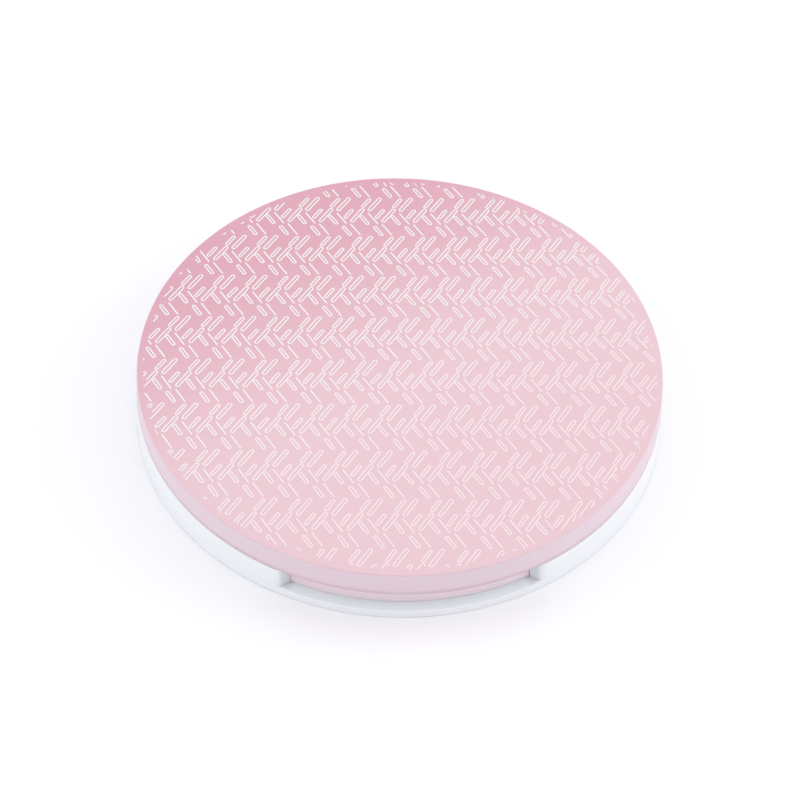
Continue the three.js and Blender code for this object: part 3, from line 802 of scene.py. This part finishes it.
def lidTongue(s):
    # the blade that closes the base's notch, and the snap rib on its inner side
    outer = s["tongueOuter"]
    blade = outer - s["tongueThick"]
    low = s["tongueBottom"]
    strips = [
        tongueBand(s, blade, outer, s["tongueHalf"], low, s["ceiling"] - s["tongueRoot"], s["tongueEnds"]),
        tongueBand(s, blade - s["ribReach"], blade + s["ribRoot"], s["ribHalf"],
                   low + s["ribLow"], low + s["ribHigh"], s["ribEnds"]),
    ]
    return makePiece("lidTongue", [(strip, False, True) for strip in strips])


facePlate = {"radius": 43.97, "top": lidTop - 0.04, "bottom": 10.68, "edge": 0.08}


def faceDisc(p):
    # a thin disc with a round upper edge, its profile taken round the middle
    profile = joinRuns(
        [[0, p["bottom"]], [p["radius"], p["bottom"]]],
        arcRun(p["radius"] - p["edge"], p["top"] - p["edge"], p["edge"], 0, 90, 4),
        [[30, p["top"]], [15, p["top"]], [0, p["top"]]],
    )
    return makePiece("faceDisc", [(revolve(profile, 256), True, False)])


printing = {
    "edge": 43.1, "stroke": 0.22, "lift": 0.02,
    "start": (-17.1, 30.5), "column": (5.6, 0.0), "group": (-1.6, -9.77), "step": (-3.12, -2.8),
    "turn": -2.3,               # degrees
    "columns": (-14, 26), "rows": (-2, 11),
    "growth": 0.0016,           # share that the print grows by for each mm towards the front
    # centre, lean in degrees, length and width of each mark in a sprig; no width is one line
    "marks": [
        (0.1, 0.1, 57.0, 3.9, 0.62),
        (-1.45, 0.45, 57.0, 2.6, 0.52),
        (-0.2, -3.5, 123.0, 3.3, 0.0),
        (-1.75, -3.85, 123.0, 2.6, 0.52),
    ],
}


def capsuleLoop(length, width):
    # the middle line of a long loop with round ends, and its outward directions
    reach, radius = (length - width) / 2, width / 2
    straight = np.linspace(-reach, reach, 4)[:-1]
    turn = np.radians(np.linspace(-90, 90, 7)[:-1])
    bottom = np.column_stack([straight, np.full(3, -radius)])
    right = np.column_stack([reach + radius * np.cos(turn), radius * np.sin(turn)])
    down = np.column_stack([np.zeros(3), -np.ones(3)])
    half = np.vstack([bottom, right])
    outward = np.vstack([down, np.column_stack([np.cos(turn), np.sin(turn)])])
    return np.vstack([half, -half]), np.vstack([outward, -outward])


def markRings(mark, stroke):
    # the outer and inner ring of one mark, in its place in the sprig
    x, y, lean, length, width = mark
    if width:
        line, outward = capsuleLoop(length, width)
        rings = np.stack([line + outward * stroke / 2, line - outward * stroke / 2])
    else:
        line, _ = capsuleLoop(length, stroke * 1.15)    # a single line is a little bolder
        rings = np.stack([line, line * [1, 0]])
    c, s = np.cos(np.radians(lean)), np.sin(np.radians(lean))
    return rings @ np.array([[c, s], [-s, c]]) + [x, y]


def facePattern(p):
    # sprigs of leaning capsules and strokes in slanting columns, two sprigs to a group; every
    # point is then spread out a little towards the front, and the print is cut at its edge
    sprig = np.stack([markRings(mark, p["stroke"]) for mark in p["marks"]])
    column, group = np.meshgrid(np.arange(*p["columns"]), np.arange(*p["rows"]), indexing="ij")
    place = (np.array(p["start"]) + column.reshape(-1, 1) * p["column"]
             + group.reshape(-1, 1) * p["group"])
    place = np.vstack([place, place + p["step"]])
    spots = sprig[None] + place[:, None, None, None]
    spread = 1 + p["growth"] * spots[..., 1:]
    turn = np.radians(p["turn"])
    c, s = np.cos(turn), np.sin(turn)
    flat = (spots / spread @ np.array([[c, s], [-s, c]])).reshape(-1, 2)
    count = sprig.shape[2]
    index = np.arange(len(flat)).reshape(-1, 2, count)
    after = np.roll(index, -1, 2)
    quads = np.stack([index[:, 0], after[:, 0], after[:, 1], index[:, 1]], -1).reshape(-1, 4)
    inside = np.linalg.norm(flat, axis=1) < p["edge"]
    used, quads = np.unique(quads[inside[quads].all(1)], return_inverse=True)
    verts = np.column_stack([flat[used], np.full(len(used), facePlate["top"] + p["lift"])])
    mesh = bpy.data.meshes.new("facePattern")
    mesh.from_pydata((verts * mm).tolist(), [], quads.reshape(-1, 4).tolist())
    mesh.update()
    piece = bpy.data.objects.new("facePattern", mesh)
    bpy.context.scene.collection.objects.link(piece)
    depth = piece.modifiers.new("inkDepth", "SOLIDIFY")
    depth.thickness = p["lift"] * mm
    depth.offset = -1
    return piece


finishPiece(lidShell(lid), "lid", "lid_plastic", lidPlastic, "lid_shell")
finishPiece(lidTongue(lid), "lid", "lid_plastic", tongueLitPlastic)
finishPiece(faceDisc(facePlate), "lid", "face_film", faceFilm, "lid_top_plate")
finishPiece(facePattern(printing), "lid", "face_film", faceInk)
print("lid, face and pattern ready")

# mirror

mirrorParts = {
    "glassRadius": 36.0, "glassBottom": 8.3, "glassTop": 9.3, "bevelWide": 1.0,
    "bevelHigh": 0.21, "glassGap": 0.05, "padRadius": 34.0, "padTop": 9.58, "padEdge": 0.05,
    "ringOuter": 38.8, "ringInner": 36.3, "ringLip": 34.9, "ringBottom": 8.0, "ringTop": 9.55,
    "ringRound": 0.45, "lipRound": 0.12,
}


def mirrorGlass(m):
    # a disc with a bevelled front edge, its profile taken round the middle
    profile = [[0, m["glassBottom"]], [m["glassRadius"] - m["bevelWide"], m["glassBottom"]],
               [m["glassRadius"], m["glassBottom"] + m["bevelHigh"]], [m["glassRadius"], m["glassTop"]],
               [0, m["glassTop"]]]
    return makePiece("mirrorGlass", [(revolve(np.array(profile), 192), True, False)], 5)


def mirrorBezel(m):
    # a ring whose round lip reaches under the glass, its profile taken round the middle
    r = m["ringRound"]
    lip = m["lipRound"]
    low = m["ringBottom"]
    seat = m["glassBottom"] - m["glassGap"]
    profile = joinRuns(
        arcRun(m["ringLip"] + lip, low + lip, lip, 180, 270, 4),
        [[36.2, low], [36.35, low]],
        arcRun(m["ringOuter"] - r, low + r, r, 270, 360, 6),
        [[m["ringOuter"], m["ringTop"]], [m["ringInner"], m["ringTop"]],
         [m["ringInner"], seat], [m["ringLip"], seat]],
    )
    return makePiece("mirrorBezel", [(revolve(profile, 192), True, True)])


def mirrorTape(m):
    # a disc with small chamfers, its profile taken round the middle
    edge = m["padEdge"]
    low, high = m["glassTop"] + m["glassGap"], m["padTop"]
    profile = [[0, low], [m["padRadius"] - edge, low], [m["padRadius"], low + edge],
               [m["padRadius"], high - edge], [m["padRadius"] - edge, high], [0, high]]
    return makePiece("mirrorTape", [(revolve(np.array(profile), 128), True, False)])


finishPiece(mirrorGlass(mirrorParts), "lid", "mirror_glass", silvered, "mirror")
finishPiece(mirrorBezel(mirrorParts), "lid", "white_plastic", whitePlastic, "mirror_ring")
finishPiece(mirrorTape(mirrorParts), "lid", "adhesive_pad", foamTape, "mirror_pad")
print("mirror ready")


# hinge pin

pin = {"radius": 0.5, "half": 8.8, "chamfer": 0.12}


def hingePin(p):
    # a rod with chamfered ends along X
    length = 2 * p["half"]
    profile = joinRuns(
        [[0, 0], [p["radius"] - p["chamfer"], 0], [p["radius"], p["chamfer"]]],
        [[p["radius"], length - p["chamfer"]], [p["radius"] - p["chamfer"], length], [0, length]],
    )
    grid = revolveAlongX(profile, 32, hinge[0] - p["half"], hinge[1], hinge[2])
    return makePiece("hingePin", [(grid, True, False)])


finishPiece(hingePin(pin), "base", "steel", drawnSteel, "hinge_pin")


# tray

tray = {
    "edgeRound": 0.22, "roundSteps": 3, "weld": 0.01,
    "flatAngle": 1, "sharpAngle": 35,       # degrees
}


def roundTray(t):
    # the tray keeps its own faces; its edges are welded and rounded
    piece = frame["nodes"]["inner_tray"]
    piece.data.materials.clear()
    piece.data.materials.append(whitePlastic)
    weld = piece.modifiers.new("weld", "WELD")
    weld.merge_threshold = t["weld"] * mm
    flat = piece.modifiers.new("flat", "DECIMATE")
    flat.decimate_type = "DISSOLVE"
    flat.angle_limit = np.radians(t["flatAngle"])
    soft = piece.modifiers.new("edges", "BEVEL")
    soft.width = t["edgeRound"] * mm
    soft.segments = t["roundSteps"]
    soft.limit_method = "ANGLE"
    soft.angle_limit = np.radians(t["sharpAngle"])
    soft.harden_normals = True


roundTray(tray)
print("tray ready")


# lens wells

well = {
    "outer": 10.3, "inner": 9.3, "bottom": 1.3, "floor": 2.0, "rim": 6.45, "rimRound": 0.3,
    "footRound": 1.0, "bowlRound": 3.0, "flange": 12.0, "flangeLow": 4.65, "flangeTop": 4.9,
}
cap = {
    "outer": 12.3, "inner": 10.9, "bottom": 5.2, "top": 7.9, "ceiling": 6.85,
    "topRound": 0.7, "flutes": 24, "fluteDepth": 0.25, "dish": 0.18, "dishRadius": 9.4,
    "pipRadius": 0.7, "pipHeight": 0.15, "pipSpacing": 2.6, "pipDistance": 8.0,
}
seal = {"inner": 9.0, "outer": 10.6, "bottom": 6.5, "top": 6.8, "round": 0.12}


def wellCentre(side):
    low, high = boxOf(side + "_well_cup")
    return (low + high)[:2] / 2


def lensCup(side, w):
    # a bowl with a round bottom, a flange that sits on the tray and a rounded rim
    foot, bowl, rim, lip = w["footRound"], w["bowlRound"], w["rimRound"], w["flange"] - 0.1
    profile = joinRuns(
        [[0, w["bottom"]], [4, w["bottom"]]],
        arcRun(w["outer"] - foot, w["bottom"] + foot, foot, -90, 0, 6),
        [[w["outer"], w["flangeLow"]], [lip, w["flangeLow"]], [w["flange"], w["flangeLow"] + 0.08],
         [w["flange"], w["flangeTop"] - 0.08], [lip, w["flangeTop"]], [w["outer"] + 0.15, w["flangeTop"]],
         [w["outer"], w["flangeTop"] + 0.12]],
        arcRun(w["outer"] - rim, w["rim"] - rim, rim, 0, 90, 4),
        arcRun(w["inner"] + rim, w["rim"] - rim, rim, 90, 180, 4),
        arcRun(w["inner"] - bowl, w["floor"] + bowl, bowl, 0, -90, 10),
        [[3, w["floor"] - 0.04], [0, w["floor"] - 0.06]],
    )
    grid = revolve(profile, 128, wellCentre(side))
    return makePiece(side + "LensCup", [(grid, True, False)])


def capPips(count, centre, c):
    # low domes near the cap's front edge
    angle = np.radians(np.linspace(0, 90, 6))
    dome = np.column_stack([c["pipRadius"] * np.cos(angle),
                            c["top"] - 0.02 + c["pipHeight"] * np.sin(angle)])
    profile = joinRuns([[0, c["top"] - 0.3], [c["pipRadius"], c["top"] - 0.3]], dome)
    shift = (np.arange(count) - (count - 1) / 2) * c["pipSpacing"]
    return [(revolve(profile, 24, centre + [x, -c["pipDistance"]]), True, False) for x in shift]


def lensCap(side, pips, c):
    # a fluted skirt under a rounded shoulder, with a shallow dish in the top
    centre = wellCentre(side)
    r = c["topRound"]
    outer = joinRuns(
        [[c["outer"] - 0.15, c["bottom"]], [c["outer"], c["bottom"] + 0.15]],
        [[c["outer"], z] for z in np.linspace(c["bottom"] + 0.5, c["top"] - r - 0.3, 5)],
        arcRun(c["outer"] - r, c["top"] - r, r, 0, 90, 8),
    )
    top = joinRuns([[10.6, c["top"]], [10.2, c["top"]]],
                   np.column_stack([np.linspace(c["dishRadius"] + 0.5, c["dishRadius"], 5),
                                    c["top"] - c["dish"] * (1 - np.cos(np.linspace(0, np.pi, 5))) / 2]),
                   [[5, c["top"] - c["dish"]], [0, c["top"] - c["dish"]]])
    inside = [[0, c["ceiling"]], [c["inner"] - 0.3, c["ceiling"]], [c["inner"], c["ceiling"] - 0.3],
              [c["inner"], c["bottom"] + 0.1], [c["inner"] + 0.1, c["bottom"]]]
    profile = joinRuns(inside, outer, top)
    z = profile[:, 1]
    outside = (profile[:, 0] > c["inner"] + 0.5)
    fade = np.clip((c["top"] - 0.15 - z) / r, 0, 1) * outside

    def flutes(angle):
        return -c["fluteDepth"] * fade * (1 - np.cos(c["flutes"] * angle)) / 2

    grid = revolve(profile, c["flutes"] * 12, centre, flutes)
    return makePiece(side + "LensCap", [(grid, True, False)] + capPips(pips, centre, c))


def capSeal(side, s):
    # a flat ring with round corners, its profile taken round the cap's middle
    r = s["round"]
    profile = joinRuns(arcRun(s["outer"] - r, s["bottom"] + r, r, -90, 0, 4),
                       arcRun(s["outer"] - r, s["top"] - r, r, 0, 90, 4),
                       arcRun(s["inner"] + r, s["top"] - r, r, 90, 180, 4),
                       arcRun(s["inner"] + r, s["bottom"] + r, r, 180, 270, 4))
    return makePiece(side + "CapSeal", [(revolve(profile, 96, wellCentre(side)), True, True)])


for side, pips, slot, material in (("left", 1, "pink_plastic", pinkPlastic),
                                   ("right", 2, "white_plastic", whitePlastic)):
    finishPiece(lensCup(side, well), "base", "cup_plastic", cupPlastic, side + "_well_cup")
    finishPiece(lensCap(side, pips, cap), side + "_cap", slot, material, side + "_cap")
    finishPiece(capSeal(side, seal), side + "_cap", "silicone", silicone, side + "_cap_seal")
print("lens wells ready")


# tweezers

tweezers = {
    "middle": -15.5, "bottom": 2.05, "top": 5.4, "edge": 0.35,
    "bowX": -26.0, "rootX": -23.7, "rootY": 3.4, "thick": 1.6,
    "curve": [(-23.7, 3.4), (-6.0, 4.5), (12.0, 4.7), (22.9, 4.0)],
    "ridges": (-11.0, 3.0), "ridgePitch": 1.4, "ridgeDepth": 0.1,
    "tipFrom": 23.15, "tipTo": 31.0, "tipInner": 2.7, "tipOuter": 5.0,
    "tipEdge": 0.4, "shoulder": 0.15, "shoulderLong": 1.5,
}


def tweezerBow(t):
    # a band carried round a half circle, with a short straight end on each side
    arc = arcRun(t["bowX"], 0, t["rootY"], 90, 270, 40)
    end = t["rootX"] - 0.3
    path = joinRuns([[end, t["rootY"]], [end - 0.3, t["rootY"]], [end - 0.9, t["rootY"]]], arc,
                    [[end - 0.9, -t["rootY"]], [end - 0.3, -t["rootY"]], [end, -t["rootY"]]])
    strip = band(path + [0, t["middle"]], t["thick"] / 2, t["bottom"], t["top"], t["edge"])
    return makePiece("tweezerBow", [(strip, False, True)])


def tweezerArm(side, t):
    # the arm's curve is the cubic through its four set points
    knots = np.array(t["curve"])
    x = np.linspace(knots[0, 0], knots[-1, 0], 220)
    y = np.polyval(np.polyfit(knots[:, 0], knots[:, 1], 3), x)
    inRidges = (x > t["ridges"][0]) & (x < t["ridges"][1])
    wave = (1 - np.cos(2 * np.pi * (x - t["ridges"][0]) / t["ridgePitch"])) / 2
    half = t["thick"] / 2 - t["ridgeDepth"] * wave * inRidges
    path = np.column_stack([x, side * y + t["middle"]])
    strip = band(path, half, t["bottom"], t["top"], t["edge"])
    name = "tweezerLeftArm" if side > 0 else "tweezerRightArm"
    return makePiece(name, [(strip, False, True)])


def tweezerTip(side, t):
    # a straight band whose half width falls to nothing over a quarter circle at its end
    middle = (t["tipInner"] + t["tipOuter"]) / 2
    full = (t["tipOuter"] - t["tipInner"]) / 2
    turn = np.radians(np.linspace(0, 90, 12))
    x = np.concatenate([np.linspace(t["tipFrom"], t["tipTo"] - full, 30)[:-1],
                        t["tipTo"] - full + full * np.sin(turn)])
    past = np.clip((x - (t["tipTo"] - full)) / full, 0, 0.999)
    grow = np.clip((x - t["tipFrom"]) / t["shoulderLong"], 0, 1)
    half = (full - t["shoulder"] * (1 - grow)) * np.sqrt(1 - past ** 2)
    y = side * (middle + t["shoulder"] * (1 - grow)) + t["middle"]
    strip = band(np.column_stack([x, y]), half, t["bottom"], t["top"], t["tipEdge"])
    name = "tweezerLeftTip" if side > 0 else "tweezerRightTip"
    return makePiece(name, [(strip, False, True)])


finishPiece(tweezerBow(tweezers), "base", "pink_plastic", pinkPlastic, "tweezer_bow")
for side, word in ((1, "left"), (-1, "right")):
    finishPiece(tweezerArm(side, tweezers), "tweezer_" + word, "pink_plastic", pinkPlastic,
                "tweezer_" + word + "_arm")
    finishPiece(tweezerTip(side, tweezers), "tweezer_" + word, "silicone", silicone,
                "tweezer_" + word + "_tip")
print("tweezers ready")


# insertion stick

stick = {
    "start": -22.5, "y": -27.0, "z": 4.55, "cupStart": 14.3,
    "handle": 1.9, "endRound": 0.8, "gripTo": 11.6, "ringPitch": 1.3, "ringDepth": 0.12,
    "neckFrom": 12.0, "neckLong": 2.5, "shank": 1.5, "shankTo": 36.2,
    "spigot": 0.95, "spigotTo": 38.6,
}


def stickRod(s):
    # a waisted handle with grip rings, a plain shank and the spigot that holds the cup
    gripFrom = 1.2
    along = np.linspace(gripFrom, s["gripTo"], 105)
    wave = -np.cos(2 * np.pi * (along - gripFrom) / s["ringPitch"])
    rings = s["handle"] - s["ringDepth"] * np.clip(wave, 0, 1)
    neck = np.linspace(0, 1, 12)
    waist = s["handle"] - (s["handle"] - s["shank"]) * (1 - np.cos(np.pi * neck)) / 2
    end, spigot = s["endRound"], s["spigot"]
    profile = joinRuns(
        [[0, 0], [end, 0]], arcRun(s["handle"] - end, end, end, -90, 0, 6),
        np.column_stack([rings, along]),
        np.column_stack([waist, s["neckFrom"] + s["neckLong"] * neck]),
        [[s["shank"], 25], [s["shank"], s["shankTo"]], [s["shank"] - 0.12, s["shankTo"] + 0.2],
         [spigot, s["shankTo"] + 0.4], [spigot, s["spigotTo"] - 0.15],
         [spigot - 0.15, s["spigotTo"]], [0, s["spigotTo"]]],
    )
    grid = revolveAlongX(profile, 64, s["start"], s["y"], s["z"])
    return makePiece("stickRod", [(grid, True, False)])


def suctionCup(s):
    # a socket at one end and a hollow flared cup at the other
    share = np.linspace(0, 1, 12)
    profile = joinRuns(
        [[0, 2.4], [1.25, 2.4], [1.25, 0.1], [1.35, 0], [1.8, 0], [1.9, 0.1], [1.9, 3]],
        np.column_stack([1.9 + 0.7 * share ** 1.6, 3 + 4 * share]),
        arcRun(2.48, 7.08, 0.12, 0, 180, 5),
        np.column_stack([2.3 - 1.3 * share ** 0.8, 7.0 - 3.3 * share]),
        [[0.6, 3.5], [0, 3.4]],
    )
    grid = revolveAlongX(profile, 64, s["cupStart"], s["y"], s["z"])
    return makePiece("suctionCup", [(grid, True, False)])


finishPiece(stickRod(stick), "base", "pink_plastic", pinkPlastic, "applicator_rod")
finishPiece(suctionCup(stick), "base", "silicone", silicone, "applicator_cup")
print("insertion stick ready")
